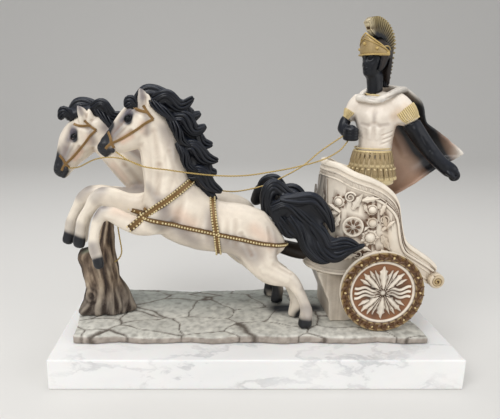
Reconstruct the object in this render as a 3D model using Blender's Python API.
"""Souvenir statuette: a two-horse racing chariot with its driver, on a marble plinth.

Metres, +Z up. The origin is the middle of the plinth's underside. The horses face -X, and
-Y is the near side. Both wheels turn on the ends of one axle; everything else is cast or
glued in place.
"""

import math

import bmesh
import bpy
from mathutils import Matrix, Vector
from mathutils.bvhtree import BVHTree

MM = 0.001

# Driving dimensions, in metres
BASE_LENGTH = 0.300
BASE_DEPTH = 0.130
BASE_HEIGHT = 0.0234
BASE_EDGE = 0.0010
GAP = 0.0003
CUT_GAPS = (0.0005, 0.0007, 0.0009, 0.0012, 0.0015, 0.0018)

PLATE_LEFT = -0.138
PLATE_RIGHT = 0.131
PLATE_NEAR = -0.041
PLATE_FAR = 0.052
PLATE_TOP = 0.0305
LEVEL_GROUND = 0.0200

CART_Y = 0.0055
WHEEL_DIAMETER = 0.0624
WHEEL_THICKNESS = 0.0070
WHEEL_X = 0.0974
WHEEL_CLEARANCE = 0.0005
WHEEL_TO_TUB = 0.0050
RIM_WIDTH = 0.0058
WHEEL_RECESS = 0.0019
PETALS = 8
AXLE_DIAMETER = 0.0060
AXLE_PLAY = 0.0004
HUB_CAP = 0.0022

TUB_FLOOR_LOW = 0.0720
TUB_FLOOR_TOP = 0.0765
TUB_HALF_WIDTH = 0.0285
TUB_WALL = 0.0034
TUB_REAR = 0.1410
FLOOR_REAR = 0.1360
TUB_FRONT_LOW = 0.0460
TUB_FRONT_HIGH = 0.0570
TUB_TOP = 0.1600
VOLUTE_DIAMETER = 0.0120
VOLUTE_STAND = 0.0042
SUPPORT_WIDTH = 0.0440

NEAR_HORSE_Y = -0.019
FAR_HORSE_Y = 0.025
STRAP_THICKNESS = 0.0018
COLLAR_WIDTH = 0.0052
TRACE_WIDTH = 0.0028
STRAP_REACH = 1.6

DRIVER_X = 0.0950
DRIVER_Y = 0.0035
DRIVER_TURN = math.radians(-25.0)
HEAD_X = 0.0915
HEAD_Y = 0.0035
HEAD_TURN = math.radians(30.0)
CREST_THICKNESS = 0.0056
CAPE_THICKNESS = 0.0024

REIN_DIAMETER = 0.0012
BIT_DIAMETER = 0.0044

# Values worked out from them
AXLE_Z = PLATE_TOP + WHEEL_CLEARANCE + WHEEL_DIAMETER / 2
WHEEL_OFFSET = TUB_HALF_WIDTH + WHEEL_TO_TUB + WHEEL_THICKNESS / 2
WHEEL_Y = {"near": CART_Y - WHEEL_OFFSET, "far": CART_Y + WHEEL_OFFSET}
BORE_DIAMETER = AXLE_DIAMETER + 2 * AXLE_PLAY

IVORY = (0.74, 0.64, 0.50)
BLACK = (0.012, 0.013, 0.018)
GOLD = (0.42, 0.28, 0.08)


def material(name, colour, roughness, metallic=0.0):
    """One Principled material with the piece's colour and finish."""
    made = bpy.data.materials.new(name)
    made.use_nodes = True
    shader = made.node_tree.nodes["Principled BSDF"]
    shader.inputs["Base Color"].default_value = (*colour, 1.0)
    shader.inputs["Roughness"].default_value = roughness
    shader.inputs["Metallic"].default_value = metallic
    return made


def add_object(name, bm, finish=None):
    """Turn a bmesh into an object with outward faces."""
    bmesh.ops.recalc_face_normals(bm, faces=bm.faces)
    mesh = bpy.data.meshes.new(name)
    bm.to_mesh(mesh)
    bm.free()
    made = bpy.data.objects.new(name, mesh)
    bpy.context.scene.collection.objects.link(made)
    if finish:
        made.data.materials.append(finish)
    return made


def bake(item):
    """Make the item's modifiers part of its mesh."""
    graph = bpy.context.evaluated_depsgraph_get()
    mesh = bpy.data.meshes.new_from_object(item.evaluated_get(graph))
    item.modifiers.clear()
    old = item.data
    item.data = mesh
    bpy.data.meshes.remove(old)
    return item


def discard(item):
    bpy.data.objects.remove(item, do_unlink=True)


def copy_of(item):
    made = bpy.data.objects.new(item.name + "_tool", item.data.copy())
    made.matrix_world = item.matrix_world
    bpy.context.scene.collection.objects.link(made)
    return made


def boolean(item, tool, operation):
    """Join, cut or intersect the item with a tool, which is used up."""
    bpy.context.view_layer.update()
    step = item.modifiers.new(operation, "BOOLEAN")
    step.operation = operation
    step.object = tool
    step.solver = "EXACT"
    bake(item)
    discard(tool)
    return item


def swollen(item, distance, voxel=None):
    """A copy of the item whose surface stands off by a distance, remade in voxels if asked."""
    tool = copy_of(item)
    step = tool.modifiers.new("Swell", "DISPLACE")
    step.strength = distance
    step.mid_level = 0.0
    if voxel:
        melted = tool.modifiers.new("Melt", "REMESH")
        melted.mode = "VOXEL"
        melted.voxel_size = voxel
    bpy.context.view_layer.update()
    return bake(tool)


def keep_largest(item):
    """Drop the chips that a cut leaves behind."""
    bm = bmesh.new()
    bm.from_mesh(item.data)
    left = set(bm.verts)
    groups = []
    while left:
        group = {left.pop()}
        front = list(group)
        while front:
            vert = front.pop()
            for edge in vert.link_edges:
                other = edge.other_vert(vert)
                if other in left:
                    left.discard(other)
                    group.add(other)
                    front.append(other)
        groups.append(group)
    groups.sort(key=len)
    chips = [vert for group in groups[:-1] for vert in group]
    bmesh.ops.delete(bm, geom=chips, context="VERTS")
    bm.to_mesh(item.data)
    bm.free()
    return item


def cut_clear(item, *others, gap=GAP, voxel=None):
    """Cut the item back so that it clears each of the others by the gap."""
    for other in others:
        boolean(item, swollen(other, gap, voxel), "DIFFERENCE")
    return keep_largest(item)


def limb(bm, rows, middle=0.0, sides=14):
    """A closed round form through rows of (x, y, z, high, wide) in millimetres.

    high is the half size across the path in its XZ plane, and wide the half size across it
    along Y. y counts from the form's middle plane.
    """
    points = [Vector((row[0] * MM, middle + row[1] * MM, row[2] * MM)) for row in rows]
    rings = []
    for index, row in enumerate(rows):
        before = points[max(index - 1, 0)]
        after = points[min(index + 1, len(points) - 1)]
        along = (after - before).normalized()
        side = Vector((0.0, 1.0, 0.0))
        side = (side - along * along.dot(side)).normalized()
        up = side.cross(along)
        ring = []
        for step in range(sides):
            angle = 2 * math.pi * step / sides
            offset = up * (row[3] * MM * math.cos(angle)) + side * (row[4] * MM * math.sin(angle))
            ring.append(bm.verts.new(points[index] + offset))
        rings.append(ring)
    for first, second in zip(rings, rings[1:]):
        for step in range(sides):
            other = (step + 1) % sides
            bm.faces.new((first[step], first[other], second[other], second[step]))
    for ring, toward, index in ((rings[0], -1, 0), (rings[-1], 1, -1)):
        next_point = points[1] if index == 0 else points[-2]
        out = (points[index] - next_point).normalized() * min(rows[index][3], rows[index][4]) * MM * 0.6
        tip = bm.verts.new(points[index] + out)
        for step in range(sides):
            bm.faces.new((ring[step], ring[(step + 1) % sides], tip))


def ball(bm, x, y, z, radius_x, radius_y, radius_z):
    """An ellipsoid, in millimetres."""
    place = Matrix.Translation((x * MM, y * MM, z * MM))
    size = Matrix.Diagonal((radius_x * MM, radius_y * MM, radius_z * MM, 1.0))
    bmesh.ops.create_icosphere(bm, subdivisions=2, radius=1.0, matrix=place @ size)


def melt(item, voxel, smoothing=4):
    """Melt overlapping forms into one closed skin."""
    melted = item.modifiers.new("Melt", "REMESH")
    melted.mode = "VOXEL"
    melted.voxel_size = voxel
    bake(item)
    relax = item.modifiers.new("Relax", "SMOOTH")
    relax.factor = 0.5
    relax.iterations = smoothing
    bake(item)
    return keep_largest(item)


def skin_of(item):
    """The item's surface, for finding where a line meets it and what crosses it."""
    bm = bmesh.new()
    bm.from_mesh(item.data)
    bm.transform(item.matrix_world)
    bmesh.ops.triangulate(bm, faces=bm.faces)
    tree = BVHTree.FromBMesh(bm)
    bm.free()
    return tree


def finish_skin(item, faces, *others, voxel=0.0009, smoothing=1, soft=True):
    """Cut a melted skin clear of its neighbours, then thin it to the given number of triangles.

    Thinning moves the skin a little, so the cut leaves more than the gap, and is made wider
    until no face crosses a neighbour. A soft cut remakes its tools in voxels, which mends the
    folds that swelling leaves in them.
    """
    whole = item.data
    neighbours = [skin_of(other) for other in others]
    for gap in CUT_GAPS:
        item.data = whole.copy()
        cut_clear(item, *others, gap=gap, voxel=3 * GAP if soft else None)
        melt(item, voxel, smoothing)
        count = sum(len(face.vertices) - 2 for face in item.data.polygons)
        thin = item.modifiers.new("Thin", "DECIMATE")
        thin.ratio = min(1.0, faces / count)
        bake(item)
        if not any(skin_of(item).overlap(skin) for skin in neighbours):
            break
    return item


def prism(name, outline, low, high, axis="Z", finish=None):
    """A closed prism over an outline of 2-D points, in metres.

    On axis Z the outline is (x, y), and on axis Y it is (x, z).
    """
    bm = bmesh.new()
    ends = []
    for level in (low, high):
        if axis == "Z":
            ends.append([bm.verts.new((x, y, level)) for x, y in outline])
        else:
            ends.append([bm.verts.new((x, level, z)) for x, z in outline])
    count = len(outline)
    for step in range(count):
        other = (step + 1) % count
        bm.faces.new((ends[0][step], ends[0][other], ends[1][other], ends[1][step]))
    bm.faces.new(ends[0])
    bm.faces.new(ends[1])
    return add_object(name, bm, finish)


def turned(name, profile, finish, segments=48):
    """A body turned about Y through (radius, y) rows in metres, first and last on the axis."""
    bm = bmesh.new()
    rings = []
    for radius, y in profile:
        if radius < 1e-6:
            rings.append([bm.verts.new((0.0, y, 0.0))])
            continue
        ring = []
        for step in range(segments):
            angle = 2 * math.pi * step / segments
            ring.append(bm.verts.new((radius * math.cos(angle), y, radius * math.sin(angle))))
        rings.append(ring)
    for first, second in zip(rings, rings[1:]):
        for step in range(segments):
            other = (step + 1) % segments
            corners = []
            for ring, place in ((first, step), (first, other), (second, other), (second, step)):
                vert = ring[place if len(ring) > 1 else 0]
                if vert not in corners:
                    corners.append(vert)
            if len(corners) > 2:
                bm.faces.new(corners)
    return add_object(name, bm, finish)


def box(name, centre, size, turn=0.0, finish=None):
    """A box turned about Y by an angle that tips its +X end up."""
    bm = bmesh.new()
    place = Matrix.Translation(centre) @ Matrix.Rotation(-turn, 4, "Y")
    bmesh.ops.create_cube(bm, size=1.0, matrix=place @ Matrix.Diagonal((*size, 1.0)))
    return add_object(name, bm, finish)


def cord(name, points, diameter, finish):
    """A round tube through a smooth curve that passes each point, given in millimetres."""
    route = [Vector(point) * MM for point in points]
    padded = [2 * route[0] - route[1], *route, 2 * route[-1] - route[-2]]
    fine = []
    pieces = 2
    for index in range(1, len(padded) - 2):
        a, b, c, d = padded[index - 1 : index + 3]
        for step in range(pieces):
            t = step / pieces
            fine.append(
                0.5 * (2 * b + (c - a) * t + (2 * a - 5 * b + 4 * c - d) * t**2 + (3 * b - a - 3 * c + d) * t**3)
            )
    fine.append(route[-1])
    curve = bpy.data.curves.new(name, "CURVE")
    curve.dimensions = "3D"
    spline = curve.splines.new("POLY")
    spline.points.add(len(fine) - 1)
    for point, place in zip(spline.points, fine):
        point.co = (*place, 1.0)
    curve.bevel_depth = diameter / 2
    curve.bevel_resolution = 2
    curve.use_fill_caps = True
    curve.materials.append(finish)
    made = bpy.data.objects.new(name, curve)
    bpy.context.scene.collection.objects.link(made)
    return made


# Plinth, ground and the tree stump under the horses
def build_marble_base():
    bm = bmesh.new()
    centre = Matrix.Translation((0.0, 0.0, BASE_HEIGHT / 2))
    bmesh.ops.create_cube(
        bm, size=1.0, matrix=centre @ Matrix.Diagonal((BASE_LENGTH, BASE_DEPTH, BASE_HEIGHT, 1.0))
    )
    bmesh.ops.bevel(
        bm, geom=list(bm.edges), offset=BASE_EDGE, segments=2, affect="EDGES", profile=0.5
    )
    add_object("marble_base", bm, material("marble", (0.82, 0.81, 0.79), 0.28))


def plate_height(x, y):
    """The flagstones' gentle rise and fall, flat under the wheels."""
    rise = 0.0012 * math.sin(38.0 * x + 0.6) + 0.0008 * math.sin(90.0 * y + 25.0 * x)
    near_wheel = min(1.0, max(0.0, (abs(x - WHEEL_X) - LEVEL_GROUND) / LEVEL_GROUND))
    return PLATE_TOP + rise * near_wheel


def build_ground_plate():
    columns = 15
    rows = 5
    bm = bmesh.new()
    top = []
    for row in range(rows + 1):
        v = row / rows
        for column in range(columns + 1):
            u = column / columns
            bulge = 0.0016 * math.sin(5.0 * math.pi * u) * math.sin(math.pi * v)
            x = PLATE_LEFT + (PLATE_RIGHT - PLATE_LEFT) * u
            y = PLATE_NEAR + (PLATE_FAR - PLATE_NEAR) * v
            if row in (0, rows):
                y += 0.0016 * math.sin(11.0 * math.pi * u) * (1 if row else -1)
            if column in (0, columns):
                x += 0.0022 * math.sin(3.0 * math.pi * v + 0.8)
            edge = row in (0, rows) or column in (0, columns)
            high = plate_height(x, y) - (0.0012 if edge else 0.0) + bulge * 0.1
            top.append(bm.verts.new((x, y, high)))
    wide = columns + 1
    for row in range(rows):
        for column in range(columns):
            a = row * wide + column
            bm.faces.new((top[a], top[a + 1], top[a + 1 + wide], top[a + wide]))
    rim = [i for i in range(wide)]
    rim += [row * wide + columns for row in range(1, rows + 1)]
    rim += [rows * wide + column for column in range(columns - 1, -1, -1)]
    rim += [row * wide for row in range(rows - 1, 0, -1)]
    bottom = {index: bm.verts.new((top[index].co.x, top[index].co.y, BASE_HEIGHT + GAP)) for index in rim}
    for first, second in zip(rim, rim[1:] + rim[:1]):
        bm.faces.new((top[first], top[second], bottom[second], bottom[first]))
    bm.faces.new([bottom[index] for index in rim])
    return add_object("ground_plate", bm, material("flagstone", (0.36, 0.34, 0.30), 0.72))


def build_tree_stump(plate, horses):
    bm = bmesh.new()
    # x, y, z, high, wide
    limb(
        bm,
        (
            (-120.5, 0, 29, 18.5, 13),
            (-121.5, 0, 40, 17, 12),
            (-122, 0, 53.5, 12.5, 11),
            (-122, 0, 64, 15.5, 12),
            (-121.5, 0, 72, 15.5, 11.5),
            (-119.5, 0, 80, 11.5, 10),
            (-118, 0, 88, 9, 8.5),
            (-115.5, 0, 98, 6.5, 7),
            (-114, 0, 109, 4.5, 5.5),
            (-112, 0, 117, 4, 5),
        ),
    )
    limb(bm, ((-122, 0, 66, 11, 9), (-129, 0, 75, 10, 9), (-135, 0, 83, 8, 8)))
    limb(bm, ((-110, 2, 60, 4, 4), (-105, 4, 50, 5, 6), (-103, 6, 38, 7, 8), (-101, 6, 29, 8, 9)))
    limb(bm, ((-133, -4, 40, 5, 6), (-137, -6, 32, 5, 7)))
    stump = add_object("tree_stump", bm, material("bark", (0.18, 0.13, 0.09), 0.8))
    melt(stump, 0.0013)
    return finish_skin(stump, 440, plate, *horses)


# The horses
TORSO = (
    (23, 0, 95, 6, 6),
    (12, 0, 97, 15.5, 12.5),
    (0, 0, 103, 21, 15),
    (-12, 0, 108.5, 20, 15),
    (-24, 0, 109.5, 19.5, 15),
    (-35, 0, 111, 20.5, 15),
    (-46, 0, 116, 23, 15),
    (-57, 0, 123, 24.5, 14),
    (-67, 0, 128, 21.5, 12.5),
    (-76, 0, 128, 15, 10),
)
HIND_LEG = (
    (3, -5, 97, 17, 9),
    (6, -8, 84, 12.5, 8),
    (14, -9, 75, 10, 6.5),
    (23.5, -9, 72, 8, 5.5),
    (30, -9, 69.5, 6, 4.5),
    (35.5, -9, 61, 4.5, 3.5),
    (40, -9, 51, 4.2, 3.4),
    (42.5, -9, 45, 5, 4),
    (41.5, -9, 38.5, 5, 4.6),
    (41, -9, 30, 6.5, 5.5),
)
NEAR_NECK = (
    (-62, 0, 132, 22, 12),
    (-65, 0, 145, 17, 10.5),
    (-67, 0, 156, 16.5, 9),
    (-69, 0, 168.5, 15.5, 8),
    (-72, 0, 179, 14, 7.5),
    (-77, 0, 188, 13, 7.5),
    (-79, 0, 197, 9, 7),
)
NEAR_HEAD = (
    (-77, 0, 198, 10, 7),
    (-82, 0, 191, 15.5, 8.5),
    (-88, 0, 184, 15.5, 9),
    (-94, 0, 179.5, 13.5, 8),
    (-102, 0, 173.5, 9.5, 6.5),
    (-108.5, 0, 170.5, 6.5, 5.5),
    (-113.5, 0, 167.5, 5.5, 4.6),
)
NEAR_FORELEGS = (
    (
        (-62, -5, 122, 16, 9),
        (-76, -10, 114, 9.5, 6.5),
        (-86.5, -10, 112, 7, 5),
        (-96, -10, 116.5, 6.8, 4.6),
        (-104, -10, 121.5, 6.3, 4.4),
        (-111.5, -10, 123.5, 5.8, 4.6),
        (-116, -10, 117.5, 4.6, 4),
        (-118.5, -10, 109, 3.8, 3.3),
        (-120, -10, 101, 4.3, 3.5),
        (-119.5, -10, 94, 5, 4),
        (-117, -11, 87.5, 4.2, 3.8),
        (-116, -12, 81, 4.5, 4),
    ),
    (
        (-66, 5, 126, 15, 8),
        (-86, 9, 122, 12, 7),
        (-99, 9, 124, 10.5, 6),
        (-108, 9, 130, 9, 5.5),
        (-115.5, 9, 132, 8, 5),
        (-122, 9, 128.5, 6.3, 4.5),
        (-125.5, 9, 122, 4.8, 3.7),
        (-130, 9, 116.5, 4.2, 3.5),
        (-133, 9, 110.5, 4.8, 4),
        (-133.5, 9, 105, 4.1, 3.8),
        (-135, 9, 98, 4.8, 4.4),
        (-136, 9, 91.5, 6, 5),
    ),
)
FAR_NECK = (
    (-71, 0, 130, 22, 12),
    (-84, 0, 142, 20.5, 11),
    (-96, 0, 154, 19.5, 9.5),
    (-107, 0, 165, 18, 8.5),
    (-117, 0, 175, 16, 8),
    (-127, 0, 183, 12, 7.5),
)
FAR_HEAD = (
    (-129, 0, 186, 10, 7),
    (-135.5, 0, 177.5, 15, 8.5),
    (-142, 0, 168, 15.5, 9),
    (-147, 0, 161, 12.5, 8),
    (-150.5, 0, 154.5, 9.5, 6.5),
    (-154.5, 0, 148, 8, 5.5),
    (-158.5, 0, 143, 6, 4.6),
)
FAR_FORELEG = (
    (-72, -5, 124, 16, 9),
    (-100, -9, 122, 11, 7),
    (-112, -10, 125, 9.5, 6),
    (-121, -10, 128, 8.8, 5.5),
    (-131, -10, 127.5, 8, 5),
    (-137.5, -10, 123.5, 6.5, 4.5),
    (-141.5, -10, 117, 4.7, 3.8),
    (-146.5, -10, 108.5, 4.3, 3.5),
    (-148.5, -10, 103, 4.8, 4),
    (-149.5, -10, 95.5, 4.4, 4),
    (-151.5, -10, 87, 5.5, 5),
)


def shifted(rows, dx=0.0, dz=0.0, mirror=False):
    """The same rows moved along, or mirrored to the other side of the horse."""
    sign = -1 if mirror else 1
    return [(x + dx, y * sign, z + dz, high, wide) for x, y, z, high, wide in rows]


def build_horse(name, middle, torso_shift, neck, head, forelegs, hind_shifts, plate):
    bm = bmesh.new()
    limb(bm, shifted(TORSO, torso_shift), middle, 18)
    limb(bm, neck, middle, 18)
    limb(bm, head, middle, 18)
    poll = head[0]
    for side in (-1, 1):
        limb(
            bm,
            (
                (poll[0] + 1, side * 4.5, poll[2] + 3, 3.2, 2.4),
                (poll[0], side * 5.5, poll[2] + 9, 2.4, 1.8),
                (poll[0] - 1, side * 6, poll[2] + 13, 0.9, 0.8),
            ),
            middle,
        )
    for rows in forelegs:
        limb(bm, rows, middle)
    for dx, mirror in hind_shifts:
        limb(bm, shifted(HIND_LEG, dx, 0.0, mirror), middle)
    horse = add_object(name, bm, material(name + "_resin", IVORY, 0.42))
    melt(horse, 0.0012)
    return finish_skin(horse, 1450, plate, voxel=0.0011)


def lock(bm, points, middle, radius, sides=8):
    """A lock of hair through (x, y, z) points, full in the middle and pointed at its end."""
    fine = []
    last = len(points) - 1
    for step in range(3 * last + 1):
        index = min(step // 3, last - 1)
        t = step / 3 - index
        fine.append([(1 - t) * a + t * b for a, b in zip(points[index], points[index + 1])])
    rows = []
    for index, point in enumerate(fine):
        before = fine[max(index - 1, 0)]
        after = fine[min(index + 1, len(fine) - 1)]
        soft = [(a + 2 * b + c) / 4 for a, b, c in zip(before, point, after)]
        t = index / (len(fine) - 1)
        full = radius * (0.75 + 0.25 * math.sin(math.pi * t)) * (1 - 0.85 * t**3)
        rows.append((*soft, full, full * 0.8))
    limb(bm, rows, middle, sides)


def build_hair(name, ridge, locks, middle, faces, clear_of):
    """A clump of wavy locks on a ridge, melted together and cut clear of the horse."""
    bm = bmesh.new()
    limb(bm, ridge, middle, 10)
    for radius, *points in locks:
        lock(bm, points, middle, radius)
    hair = add_object(name, bm, material(name + "_resin", BLACK, 0.35))
    melt(hair, 0.0011, 2)
    return finish_skin(hair, faces, *clear_of)


# Each ridge: x, y, z, high, wide; each lock: its half thickness, then its points
NEAR_RIDGE = (
    (-84, 0, 200, 4, 5), (-78, 0, 203, 5, 6), (-66, 0, 194, 6, 6), (-57, 0, 180, 6, 6), (-50, 0, 165, 6, 6.5),
    (-45, 0, 150, 6, 6.5), (-40, 0, 138, 5, 6),
)
NEAR_MANE = (
    (5, (-84, -3, 198), (-89, -5, 203), (-93, -6, 199)),
    (6, (-86, 2, 201), (-79, 2, 209), (-68, 2, 208), (-58, 0, 205)),
    (5.5, (-74, -2, 202), (-64, -4, 207), (-54, -3, 200), (-45, -2, 206)),
    (6, (-66, 2, 195), (-56, 3, 199), (-47, 2, 192), (-40, 2, 195)),
    (6, (-62, -2, 187), (-52, -4, 191), (-44, -4, 183), (-36, -3, 186)),
    (6, (-57, 2, 177), (-48, 3, 182), (-39, 2, 173), (-31, 1, 172)),
    (6, (-54, -3, 168), (-45, -5, 171), (-36, -5, 163), (-27, -4, 161)),
    (6, (-50, 1, 158), (-42, 2, 161), (-34, 1, 152), (-28, 0, 152)),
    (6, (-48, -3, 149), (-40, -5, 152), (-33, -5, 143), (-24, -5, 138)),
    (5, (-44, 0, 142), (-38, 0, 143), (-34, -1, 136), (-28, -2, 131)),
)
FAR_RIDGE = (
    (-146, 0, 186, 5, 5), (-138, 0, 193, 6, 6), (-126, 0, 192, 6, 6), (-112, 0, 183, 6, 6), (-98, 0, 168, 6, 6),
)
FAR_MANE = (
    (5, (-142, -2, 189), (-149, -4, 194), (-153, -5, 188)),
    (5.5, (-146, 2, 190), (-140, 2, 199), (-130, 2, 200), (-121, 0, 198)),
    (5.5, (-127, -1, 195), (-119, -3, 200), (-111, -4, 191), (-103, -3, 192)),
    (6, (-116, 1, 187), (-106, 1, 189), (-98, 0, 178), (-90, 0, 176)),
)
NEAR_TAIL_RIDGE = (
    (14, 0, 112, 5, 5), (17, 0, 122, 7, 6.5), (26, 0, 127, 9, 7), (38, -1, 122, 10, 7), (47, -4, 111, 9, 6),
)
NEAR_TAIL = (
    (6, (12, 2, 118), (10, 2, 132), (15, 2, 141), (27, 1, 134), (37, 0, 134)),
    (6, (20, -3, 130), (32, -5, 131), (44, -6, 131), (54, -8, 120), (59, -9, 108)),
    (6, (40, -4, 118), (50, -8, 107), (56, -10, 98), (68, -12, 101), (78, -12.5, 98)),
    (5.5, (26, -4, 118), (34, -6, 110), (40, -8, 96), (49, -10, 87), (58, -11, 86)),
    (5, (44, -5, 106), (50, -10, 95), (60, -12, 90), (70, -12.5, 95), (82, -12.5, 99)),
    (4.5, (18, -2, 114), (26, -3, 106), (34, -5, 105), (40, -6, 100)),
)
FAR_TAIL_RIDGE = (
    (5, -3, 119, 5, 5), (9, -7, 130, 7, 6), (18, -14, 133, 7.5, 7), (29, -21, 126, 8, 7), (38, -26, 116, 7, 6),
    (41, -28, 106, 5, 5),
)
FAR_TAIL = (
    (5, (8, -6, 126), (12, -10, 138), (21, -15, 141), (29, -20, 133)),
    (5, (22, -16, 132), (34, -22, 134), (42, -26, 124), (45, -27, 112)),
)


def strap(bm, tree, middle, centre, half_long, half_short, tilt, width, stations=30):
    """A closed strap laid on the skin in a plane that holds Y and a tilted long axis.

    Each station looks outward from the body's core, so both edges lie on the skin.
    """
    long_axis = Vector((math.cos(tilt), 0.0, math.sin(tilt)))
    normal = Vector((-math.sin(tilt), 0.0, math.cos(tilt)))
    start = Vector((centre[0] * MM, middle, centre[1] * MM))
    core = (half_long - half_short) * MM
    rings = []
    for step in range(stations):
        angle = 2 * math.pi * (step + 0.5) / stations
        along = core * max(-1.0, min(1.0, 1.6 * math.cos(angle)))
        way = Vector((0.0, math.sin(angle), 0.0)) + long_axis * math.cos(angle)
        hub = start + long_axis * along
        ring = []
        for edge in (-0.5, 0.5):
            base = hub + normal * (edge * width)
            _, slope, _, distance = tree.ray_cast(base, way)
            distance = min(distance, half_short * STRAP_REACH * MM)
            lift = (slope + way).normalized()
            for height in (-STRAP_THICKNESS, GAP + STRAP_THICKNESS):
                ring.append(bm.verts.new(base + way * distance + lift * height))
        rings.append([ring[0], ring[1], ring[3], ring[2]])
    for first, second in zip(rings, rings[1:] + rings[:1]):
        for side in range(4):
            other = (side + 1) % 4
            bm.faces.new((first[side], first[other], second[other], second[side]))


def build_harness(name, horse, middle, straps, medallion):
    """Collar, girth and trace laid on the skin, joined by a plate on the chest."""
    tree = skin_of(horse)
    bm = bmesh.new()
    for centre, half_long, half_short, tilt, width in straps:
        strap(bm, tree, middle, centre, half_long, half_short, math.radians(tilt), width)
    x, z, length, tilt = medallion
    place = Matrix.Translation((x * MM, middle, z * MM)) @ Matrix.Rotation(-math.radians(tilt), 4, "Y")
    size = Matrix.Diagonal((length * MM, 0.6 * length * MM, 0.4 * length * MM, 1.0))
    bmesh.ops.create_icosphere(bm, subdivisions=2, radius=1.0, matrix=place @ size)
    harness = add_object(name, bm, material(name + "_gilt", GOLD, 0.4, 0.6))
    melt(harness, STRAP_THICKNESS / 2, 1)
    return finish_skin(harness, 800, horse, voxel=STRAP_THICKNESS / 3, smoothing=0, soft=False)


# each strap: centre (x, z), half length and half depth of its oval in millimetres, tilt, width
NEAR_STRAPS = (
    ((-59, 136.5), 30, 26, 36.4, COLLAR_WIDTH),
    ((-26, 107.5), 60, 26, -12.5, TRACE_WIDTH),
    ((-29, 112), 34, 30, 98, TRACE_WIDTH),
)
NEAR_MEDALLION = (-80, 121, 10, 104)
FAR_STRAPS = (
    ((-71, 138), 32, 26, 37.7, COLLAR_WIDTH),
    ((-35, 107.5), 60, 26, -12.5, TRACE_WIDTH),
    ((-38, 112), 34, 30, 98, TRACE_WIDTH),
)
FAR_MEDALLION = (-93, 121, 10, 125)


# The chariot
# The tub's top and bottom edges from its front to its rear, (x, z) in millimetres
RIM_LINE = (
    (40, 157), (62, 156.5), (74, 151), (88, 146), (100, 139), (108, 129), (111.5, 113), (115.5, 100), (126, 91),
    (136, 84), (143, 76.5), (150, 66),
)
SILL_LINE = ((40, 72), (118, 72), (128, 69), (136, 65), (150, 61))

# The wall's section: how far each corner stands out, and its height over the bottom edge or
# over the top edge, in millimetres
FOOT_MOULDING = ((1.0, 0), (1.4, 1.8), (0, 3.2))
RIM_MOULDING = (
    (0, -8.4), (1.0, -7.6), (1.0, -6.0), (0, -5.2), (0, -3.0), (1.4, -1.6), (1.2, 0.4), (-0.6, 1.4), (-2.8, 1.0),
    (-3.8, -0.6),
)
SECTION_HEIGHT = 0.0140


def edge_height(line, x):
    """Height of an edge given by (x, z) rows in millimetres."""
    for (x0, z0), (x1, z1) in zip(line, line[1:]):
        if x <= x1 * MM:
            return (z0 + (z1 - z0) * max(0.0, (x / MM - x0)) / (x1 - x0)) * MM
    return line[-1][1] * MM


def tub_front(z):
    """The wall leans: its front lies further back at the top."""
    return TUB_FRONT_LOW + (TUB_FRONT_HIGH - TUB_FRONT_LOW) * (z - TUB_FLOOR_LOW) / (TUB_TOP - TUB_FLOOR_LOW)


def tub_plan(place, z, out):
    """A point of the tub's plan at a height: place is an x on a straight side or an angle."""
    kind, value, side = place
    reach = TUB_HALF_WIDTH + out
    if kind == "side":
        return Vector((value, CART_Y + side * reach, z))
    centre = tub_front(z) + TUB_HALF_WIDTH
    return Vector((centre - reach * math.cos(value), CART_Y + reach * math.sin(value), z))


def build_wall():
    """The tub's wall, a moulded section carried round three sides."""
    straight = [x * MM for x, _ in RIM_LINE if TUB_FRONT_HIGH + TUB_HALF_WIDTH < x * MM < TUB_REAR] + [TUB_REAR]
    steps = 10
    places = [("side", x, -1) for x in reversed(straight)]
    places += [("arc", math.pi * (step / steps - 0.5), 0) for step in range(steps + 1)]
    places += [("side", x, 1) for x in straight]
    bm = bmesh.new()
    rings = []
    for place in places:
        high = TUB_TOP
        for _ in range(4):
            high = edge_height(RIM_LINE, tub_plan(place, high, 0.0).x)
        low = edge_height(SILL_LINE, tub_plan(place, TUB_FLOOR_LOW, 0.0).x)
        scale = min(1.0, (high - low) / SECTION_HEIGHT) * MM
        corners = [(out * MM, low + rise * scale) for out, rise in FOOT_MOULDING]
        corners += [(out * MM, high + rise * scale) for out, rise in RIM_MOULDING]
        corners.append((-TUB_WALL, low))
        rings.append([bm.verts.new(tub_plan(place, z, out)) for out, z in corners])
    for first, second in zip(rings, rings[1:]):
        for step in range(len(first)):
            other = (step + 1) % len(first)
            bm.faces.new((first[step], first[other], second[other], second[step]))
    bm.faces.new(rings[0])
    bm.faces.new(rings[-1])
    return add_object("chariot_body", bm)


def build_floor():
    """The standing floor, let into the wall."""
    steps = 10
    inset = TUB_WALL / 2
    outline = [(FLOOR_REAR, CART_Y - TUB_HALF_WIDTH + inset)]
    for step in range(steps + 1):
        point = tub_plan(("arc", math.pi * (step / steps - 0.5), 0), TUB_FLOOR_LOW, -inset)
        outline.append((point.x, point.y))
    outline.append((FLOOR_REAR, CART_Y + TUB_HALF_WIDTH - inset))
    return prism("floor", outline, TUB_FLOOR_LOW + GAP, TUB_FLOOR_TOP)


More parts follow.
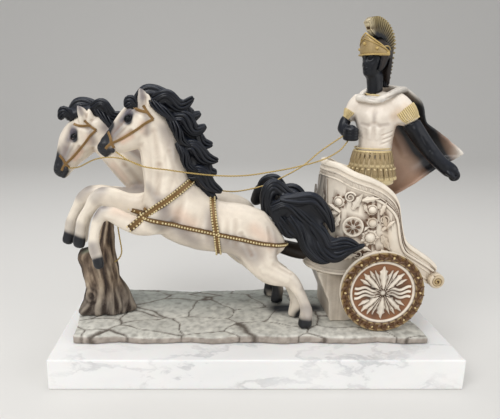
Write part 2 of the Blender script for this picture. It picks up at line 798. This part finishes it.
def build_tub():
    tub = build_wall()
    boolean(tub, build_floor(), "UNION")
    for side in (-1, 1):
        inner = CART_Y + side * (TUB_HALF_WIDTH - 1.2 * TUB_WALL)
        outer = CART_Y + side * (TUB_HALF_WIDTH + VOLUTE_STAND)
        radius = VOLUTE_DIAMETER / 2
        sunk = outer - side * 0.2 * radius
        volute = turned(
            "volute",
            (
                (0.0, inner),
                (radius, inner),
                (radius, sunk),
                (radius * 0.8, outer),
                (radius * 0.6, sunk),
                (radius * 0.3, sunk),
                (0.0, outer),
            ),
            None,
            14,
        )
        volute.location = (TUB_REAR, 0.0, TUB_FLOOR_LOW - 0.6 * radius)
        boolean(tub, volute, "UNION")
        # x, z, radius and height of the shield and the bosses round it, in millimetres
        for x, z, radius, height in ((75, 110.5, 7.6, 1.6), (65, 129, 4.6, 3), (88, 124, 4.4, 3), (89, 114, 4.4, 3),
                                     (88, 102.5, 5.8, 2)):
            wall = CART_Y + side * TUB_HALF_WIDTH
            boss = turned(
                "boss",
                (
                    (0.0, wall - side * TUB_WALL / 2),
                    (radius * MM, wall - side * TUB_WALL / 2),
                    (radius * MM, wall + side * height * 0.4 * MM),
                    (radius * 0.6 * MM, wall + side * height * 0.9 * MM),
                    (0.0, wall + side * height * MM),
                ),
                None,
                9,
            )
            boss.location = (x * MM, 0.0, z * MM)
            boolean(tub, boss, "UNION")
    tub.data.materials.clear()
    tub.data.materials.append(material("chariot_resin", IVORY, 0.45))
    return keep_largest(tub)


def build_support(tub, plate):
    outline = [(x * MM, z * MM) for x, z in ((63, 28), (62, 46), (57, 58), (53, 67), (51.5, 71.7), (118, 71.7), (112, 60), (108, 44), (108, 28))]
    low = CART_Y - SUPPORT_WIDTH / 2
    high = CART_Y + SUPPORT_WIDTH / 2
    support = prism("chariot_support", outline, low, high, "Y", material("support_resin", (0.55, 0.50, 0.42), 0.6))
    hole = axle_rod("axle_hole", BORE_DIAMETER, low - AXLE_DIAMETER, high + AXLE_DIAMETER)
    boolean(support, hole, "DIFFERENCE")
    return cut_clear(support, plate)


def axle_rod(name, diameter, low, high, finish=None):
    radius = diameter / 2
    rod = turned(name, ((0.0, low), (radius, low), (radius, high), (0.0, high)), finish, 24)
    rod.location = (WHEEL_X, 0.0, AXLE_Z)
    return rod


def build_axle():
    reach = WHEEL_OFFSET + WHEEL_THICKNESS / 2 - HUB_CAP - GAP
    axle_rod("axle", AXLE_DIAMETER, CART_Y - reach, CART_Y + reach, material("axle_metal", (0.08, 0.07, 0.06), 0.5, 0.5))


def build_wheel(name, side):
    """A cast disc: a raised rim, a recess with eight leaves round a boss, and a blind bore."""
    outward = -1 if side == "near" else 1
    radius = WHEEL_DIAMETER / 2
    half = WHEEL_THICKNESS / 2
    inner = radius - RIM_WIDTH
    floor = half - WHEEL_RECESS
    segments = 4 * PETALS
    # radius, depth, height of the leaves there
    profile = (
        (0.0028, half + 0.0008, 0.0),
        (0.0052, floor + 0.0004, 0.0),
        (inner * 0.40, floor, 0.0012),
        (inner * 0.66, floor, 0.0014),
        (inner * 0.88, floor, 0.0004),
        (inner - 0.0008, floor, 0.0),
        (inner, half - 0.0003, 0.0),
        (radius - 0.0012, half, 0.0),
        (radius, half - 0.0010, 0.0),
        (radius, -half, 0.0),
        (BORE_DIAMETER / 2, -half, 0.0),
        (BORE_DIAMETER / 2, half - HUB_CAP, 0.0),
    )
    bm = bmesh.new()
    rings = []
    for distance, depth, leaf in profile:
        ring = []
        for step in range(segments):
            angle = 2 * math.pi * step / segments
            rise = leaf * max(0.0, math.cos(PETALS * angle))
            place = (distance * math.cos(angle), outward * (depth + rise), distance * math.sin(angle))
            ring.append(bm.verts.new(place))
        rings.append(ring)
    for first, second in zip(rings, rings[1:]):
        for step in range(segments):
            other = (step + 1) % segments
            bm.faces.new((first[step], first[other], second[other], second[step]))
    bm.faces.new(rings[0])
    bm.faces.new(rings[-1])
    wheel = add_object(name, bm, material(name + "_resin", IVORY, 0.45))
    wheel.location = (WHEEL_X, WHEEL_Y[side], AXLE_Z)


def build_pole(clear_of):
    bm = bmesh.new()
    limb(bm, ((46, 3, 82, 7, 6), (36, 3, 84, 7, 6), (20, 3, 89, 5.5, 5), (-10, 3, 97, 4.5, 4.5), (-42, 3, 106, 4, 4)))
    pole = add_object("draft_pole", bm, material("pole_resin", (0.05, 0.05, 0.055), 0.5))
    return finish_skin(pole, 160, *clear_of)


# The driver, modelled about his own axis and then turned: the body facing -Y, the head facing -X
def figure_piece(name, forms, finish, balls=(), voxel=0.0011, head=False):
    bm = bmesh.new()
    for rows in forms:
        limb(bm, rows, 0.0, 16)
    for row in balls:
        ball(bm, *row)
    place = (HEAD_X, HEAD_Y, 0.0) if head else (DRIVER_X, DRIVER_Y, 0.0)
    turn = Matrix.Rotation(HEAD_TURN if head else DRIVER_TURN, 4, "Z")
    bmesh.ops.transform(bm, matrix=Matrix.Translation(place) @ turn, verts=bm.verts)
    piece = add_object(name, bm, finish)
    return melt(piece, voxel)


def build_crest(finish):
    """The brush on the helmet: a fan that follows the dome from the brow to the nape."""
    # x, z in millimetres, round the outside and back along the dome
    outline = (
        (-12.5, 260.5), (-9, 263), (-2, 263.5), (5, 261), (11, 256.5), (15.5, 250), (17, 242), (15.5, 231), (13.5, 219),
        (12.5, 213), (10.5, 213.5), (10.5, 222), (11.5, 231), (10, 240), (6, 246), (0, 249), (-5, 248.5), (-6.5, 251),
        (-9.5, 254.5), (-12.5, 257),
    )
    crest = prism(
        "driver_crest", [(x * MM, z * MM) for x, z in outline], -CREST_THICKNESS / 2, CREST_THICKNESS / 2, "Y", finish
    )
    turn = Matrix.Translation((HEAD_X, HEAD_Y, 0.0)) @ Matrix.Rotation(HEAD_TURN, 4, "Z")
    crest.data.transform(turn)
    return crest


def build_visor(bm):
    """A pointed gilt plate over the brow, from ear to ear."""
    steps = 10
    rings = []
    for step in range(steps + 1):
        share = 2 * step / steps - 1
        angle = math.radians(95 * share)
        top = 237.5 + 14.0 * (1 - abs(share)) ** 0.9
        ring = []
        for radius, height in ((11.2, 236.0), (13.2, 236.0), (12.6, top), (10.6, top)):
            ring.append(bm.verts.new((-radius * MM * math.cos(angle), radius * MM * 0.86 * math.sin(angle), height * MM)))
        rings.append(ring)
    for first, second in zip(rings, rings[1:]):
        for side in range(4):
            other = (side + 1) % 4
            bm.faces.new((first[side], first[other], second[other], second[side]))
    bm.faces.new(rings[0])
    bm.faces.new(rings[-1])


def build_helmet(finish):
    bm = bmesh.new()
    ball(bm, 1, 0, 237, 11.5, 10, 11.8)
    limb(bm, ((8, 0, 238, 5, 8), (9.5, 0, 228, 3, 7), (11, 0, 219, 2, 5), (13, 0, 214, 1.4, 4)), 0.0, 12)
    for side in (-1, 1):
        limb(bm, ((0, side * 9, 240, 4, 1.6), (-1.5, side * 8.6, 231, 3.4, 1.4), (-3.5, side * 7, 224, 2, 1.2)), 0.0, 8)
        ball(bm, 0.5, side * 10, 237, 2, 1.2, 2)
    build_visor(bm)
    turn = Matrix.Translation((HEAD_X, HEAD_Y, 0.0)) @ Matrix.Rotation(HEAD_TURN, 4, "Z")
    bmesh.ops.transform(bm, matrix=turn, verts=bm.verts)
    helmet = add_object("driver_helmet", bm, finish)
    melt(helmet, 0.0008, 2)
    face = box("face", (HEAD_X - 0.0135 * math.cos(HEAD_TURN), HEAD_Y - 0.0135 * math.sin(HEAD_TURN), 0.2255),
               (0.019, 0.019, 0.021))
    return boolean(helmet, face, "DIFFERENCE")


def build_driver(tub):
    skin = material("skin_resin", BLACK, 0.35)
    ivory = material("cuirass_resin", IVORY, 0.45)
    gilt = material("helmet_gilt", GOLD, 0.4, 0.5)
    floor = TUB_FLOOR_TOP / MM
    legs = figure_piece(
        "driver_legs",
        [
            (
                (side * 5, -6, floor + 1.5, 7, 3.6),
                (side * 5, -2, floor + 6, 4, 3.6),
                (side * 5.5, 0, floor + 22, 4.8, 4.6),
                (side * 5.5, -1, floor + 36, 5, 5),
                (side * 5, 0, floor + 50, 6.5, 6),
                (side * 4, 0, floor + 70, 7, 7),
            )
            for side in (-1, 1)
        ],
        skin,
    )
    torso = figure_piece(
        "driver_cuirass",
        [
            (
                (0, 0, 158, 13, 10),
                (0.5, 0, 166, 12.5, 9.5),
                (1, 0, 174, 12.5, 9.5),
                (0.5, -1, 184, 14.5, 10.5),
                (0, -0.5, 194, 17, 11),
                (0, 1, 201, 16.5, 9.5),
                (-1, 1, 207, 10, 7.5),
            ),
            ((-14, 2, 206, 4, 5), (-17.5, 1, 200, 5, 6), (-19, 1, 193, 5.2, 6), (-20, 1, 189, 4.6, 5.5)),
            ((13, 1, 206, 5, 6), (18, 0, 200, 7, 8), (21, 0, 193, 8.4, 9), (22, 0, 188.5, 8.6, 9)),
        ],
        ivory,
    )
    kilt = figure_piece(
        "driver_kilt",
        [((0, 0, 166, 12.5, 10.5), (-0.5, 0, 157, 14.5, 12), (-1, 0, 149, 17, 14), (-2, 0, 142.5, 19.5, 15.5))],
        material("kilt_resin", GOLD, 0.5),
    )
    head = figure_piece(
        "driver_head",
        [
            ((2, 0, 205, 6.5, 6.5), (1, 0, 213, 5.6, 5.6), (0, 0, 222, 6.5, 6)),
            ((-3, 0, 233, 8, 7), (-5, 0, 226, 6, 6), (-6.5, 0, 221.5, 4, 4.6)),
        ],
        skin,
        [(0, 0, 234.5, 10.5, 8.8, 11.5), (-11.5, 0, 229.5, 1.8, 1.5, 2.6)],
        0.0009,
        True,
    )
    helmet = build_helmet(gilt)
    crest = build_crest(material("crest_resin", (0.22, 0.19, 0.15), 0.5))
    right_arm = figure_piece(
        "driver_right_arm",
        [
            (
                (-19, 1, 193, 4.4, 4.6),
                (-23, -1, 187, 4.4, 4.4),
                (-24.5, -4, 181, 4, 4),
                (-21, -7, 178.5, 3.8, 3.8),
                (-18, -9, 178, 4, 4),
            )
        ],
        skin,
        [(-17, -9, 178, 5, 4.6, 5.4), (-20, -8, 183.5, 2, 2.2, 3)],
    )
    left_arm = figure_piece(
        "driver_left_arm",
        [
            (
                (21, 0, 193, 6.5, 6.5),
                (27, 0, 184, 6.5, 6.5),
                (34, 0, 174, 6.2, 6.2),
                (42, -1, 164.5, 5.6, 5.6),
                (49, -2, 157.5, 5, 5),
                (55, -3, 153.5, 5.6, 5),
                (59, -3, 151, 4, 4),
            )
        ],
        skin,
    )
    cape = build_cape()
    finish_skin(torso, 440)
    finish_skin(head, 360, torso)
    finish_skin(helmet, 440, head)
    finish_skin(crest, 200, helmet, head, torso)
    finish_skin(kilt, 260, torso)
    finish_skin(legs, 260, kilt, torso, tub)
    finish_skin(right_arm, 260, torso)
    finish_skin(left_arm, 280, torso)
    finish_skin(cape, 560, torso, left_arm, right_arm, kilt, head, helmet, crest, legs, tub)


# The cape's sheet, top to bottom: where it leaves the driver's back, its belly and its free edge,
# each (x, y, z) in millimetres
CAPE_ROWS = (
    ((84, 4, 208.5), (97, 15, 215), (116, 3, 213)),
    ((85, 12, 201), (105, 20, 207), (130, 3, 202)),
    ((87, 16, 187), (111, 24, 190), (136, 6, 185)),
    ((89, 18, 171), (117, 27, 174), (151, 7, 176)),
    ((91, 19, 157), (123, 27, 158), (169, 6, 162)),
    ((94, 20, 144), (121, 27, 144), (148, 9, 150)),
    ((98, 21, 132), (116, 27, 131), (133, 14, 136)),
    ((103, 21, 125), (110, 25, 123), (118, 20, 125)),
)


def build_cape():
    """A thick sheet blown back from the shoulders: each row is an arc through three points."""
    columns = 8
    bm = bmesh.new()
    grid = []
    for start, belly, free in CAPE_ROWS:
        points = []
        for column in range(columns + 1):
            t = column / columns
            a, b, c = (1 - t) * (1 - 2 * t), 4 * t * (1 - t), t * (2 * t - 1)
            point = Vector(start) * a + Vector(belly) * b + Vector(free) * c
            points.append(bm.verts.new(point * MM))
        grid.append(points)
    for upper, lower in zip(grid, grid[1:]):
        for step in range(columns):
            bm.faces.new((upper[step], upper[step + 1], lower[step + 1], lower[step]))
    cape = add_object("driver_cape", bm, material("cape_resin", IVORY, 0.5))
    thick = cape.modifiers.new("Thick", "SOLIDIFY")
    thick.thickness = CAPE_THICKNESS
    thick.offset = 0.0
    bake(cape)
    bm = bmesh.new()
    bm.from_mesh(cape.data)
    # the rolled edge round the neck and over the shoulders
    limb(bm, ((80, 6, 205, 2.6, 3), (82, -2, 205, 2.8, 3), (90, -8, 203, 3, 3), (100, -7, 207, 3, 3.4),
              (109, -3, 211, 3, 4), (115, 2, 211, 2.6, 3.6)), 0.0, 10)
    limb(bm, ((80, 5, 205, 2.6, 3), (84, 11, 207, 2.8, 3), (92, 15, 210, 3, 3)), 0.0, 10)
    bm.to_mesh(cape.data)
    bm.free()
    return melt(cape, 0.0010)


def build_bits(near_horse, far_horse):
    """A round stud at the corner of each horse's mouth, where the rein is tied."""
    # name, horse, middle plane in metres, x, z and reach from that plane in millimetres
    rows = (
        ("near_bit", near_horse, NEAR_HORSE_Y, -103.5, 168.5, 6.8),
        ("far_bit", far_horse, FAR_HORSE_Y, -150.3, 148.5, 7.0),
    )
    gilt = material("bit_gilt", GOLD, 0.4, 0.6)
    bits = []
    for name, horse, middle, x, z, reach in rows:
        knob = BIT_DIAMETER / 2
        low = middle - reach * MM
        bit = turned(
            name,
            (
                (0.0, low),
                (knob * 0.7, low),
                (knob, low + 0.5 * MM),
                (knob, low + 1.2 * MM),
                (knob * 0.7, low + 1.7 * MM),
                (knob * 0.7, middle),
                (0.0, middle),
            ),
            gilt,
            12,
        )
        bit.location = (x * MM, 0.0, z * MM)
        bits.append(finish_skin(bit, 120, horse))
    return bits


# Each cord's route, in millimetres
NEAR_REIN = (
    (-101.1, -25.2, 167.5), (-97, -28.2, 165.2), (-91, -30.6, 161.8), (-80, -32, 157.6), (-63, -33, 155.4),
    (-48, -32, 153.1), (-27, -28, 150.4), (-7, -23, 149.7), (13, -17, 151.5), (33, -11, 154.3), (53, -5.5, 158.8),
    (67, -1.5, 165.5), (74.0, 0.7, 173.3),
)
FAR_REIN = (
    (-147.8, 17.9, 149.0), (-138, 13, 150.8), (-122, 8, 158), (-104, 4, 159), (-80, 3, 151), (-52, 2, 141),
    (-30, 1.5, 135), (-13, 1, 133), (8, 1, 137.1), (19, 1, 141.7), (39, 1, 152.8), (53.5, 1.5, 165),
    (71.0, 2.2, 177.0),
)
LOOSE_CORD = (
    (-104.5, -10, 115.1), (-104.4, -10, 106), (-103.3, -10, 96.3), (-102.4, -9.5, 88), (-103.5, -8.8, 83),
    (-106.3, -7, 79), (-109.1, -5.5, 76.7),
)


def build_cords():
    gilt = material("rein_cord", GOLD, 0.45, 0.5)
    cord("near_rein", NEAR_REIN, REIN_DIAMETER, gilt)
    cord("far_rein", FAR_REIN, REIN_DIAMETER, gilt)
    cord("loose_cord", LOOSE_CORD, REIN_DIAMETER, gilt)


def build():
    for item in list(bpy.data.objects):
        bpy.data.objects.remove(item, do_unlink=True)
    build_marble_base()
    plate = build_ground_plate()
    near_horse = build_horse("near_horse", NEAR_HORSE_Y, 0, NEAR_NECK, NEAR_HEAD, NEAR_FORELEGS,
                             ((0, False), (-5, True)), plate)
    far_horse = build_horse("far_horse", FAR_HORSE_Y, -9, FAR_NECK, FAR_HEAD,
                            (FAR_FORELEG, shifted(FAR_FORELEG, 7, -5, True)), ((-16, False), (-20, True)), plate)
    near_harness = build_harness("near_harness", near_horse, NEAR_HORSE_Y, NEAR_STRAPS, NEAR_MEDALLION)
    far_harness = build_harness("far_harness", far_horse, FAR_HORSE_Y, FAR_STRAPS, FAR_MEDALLION)
    build_tree_stump(plate, (near_horse, far_horse))
    build_hair("near_mane", NEAR_RIDGE, NEAR_MANE, NEAR_HORSE_Y, 640, (near_horse, near_harness))
    build_hair("far_mane", FAR_RIDGE, FAR_MANE, FAR_HORSE_Y, 540, (far_horse, far_harness))
    tub = build_tub()
    build_support(tub, plate)
    build_axle()
    build_wheel("near_wheel", "near")
    build_wheel("far_wheel", "far")
    near_tail = build_hair(
        "near_tail", NEAR_TAIL_RIDGE, NEAR_TAIL, NEAR_HORSE_Y, 480, (near_horse, near_harness, tub)
    )
    far_tail = build_hair(
        "far_tail", FAR_TAIL_RIDGE, FAR_TAIL, FAR_HORSE_Y, 220,
        (far_horse, far_harness, near_horse, near_harness, near_tail, tub),
    )
    build_pole((tub, near_horse, far_horse, near_harness, far_harness, near_tail, far_tail))
    build_driver(tub)
    build_bits(near_horse, far_horse)
    build_cords()
    for item in bpy.data.objects:
        if item.type == "MESH":
            item.data.shade_smooth()
            item.data.set_sharp_from_angle(angle=math.radians(40.0))


build()
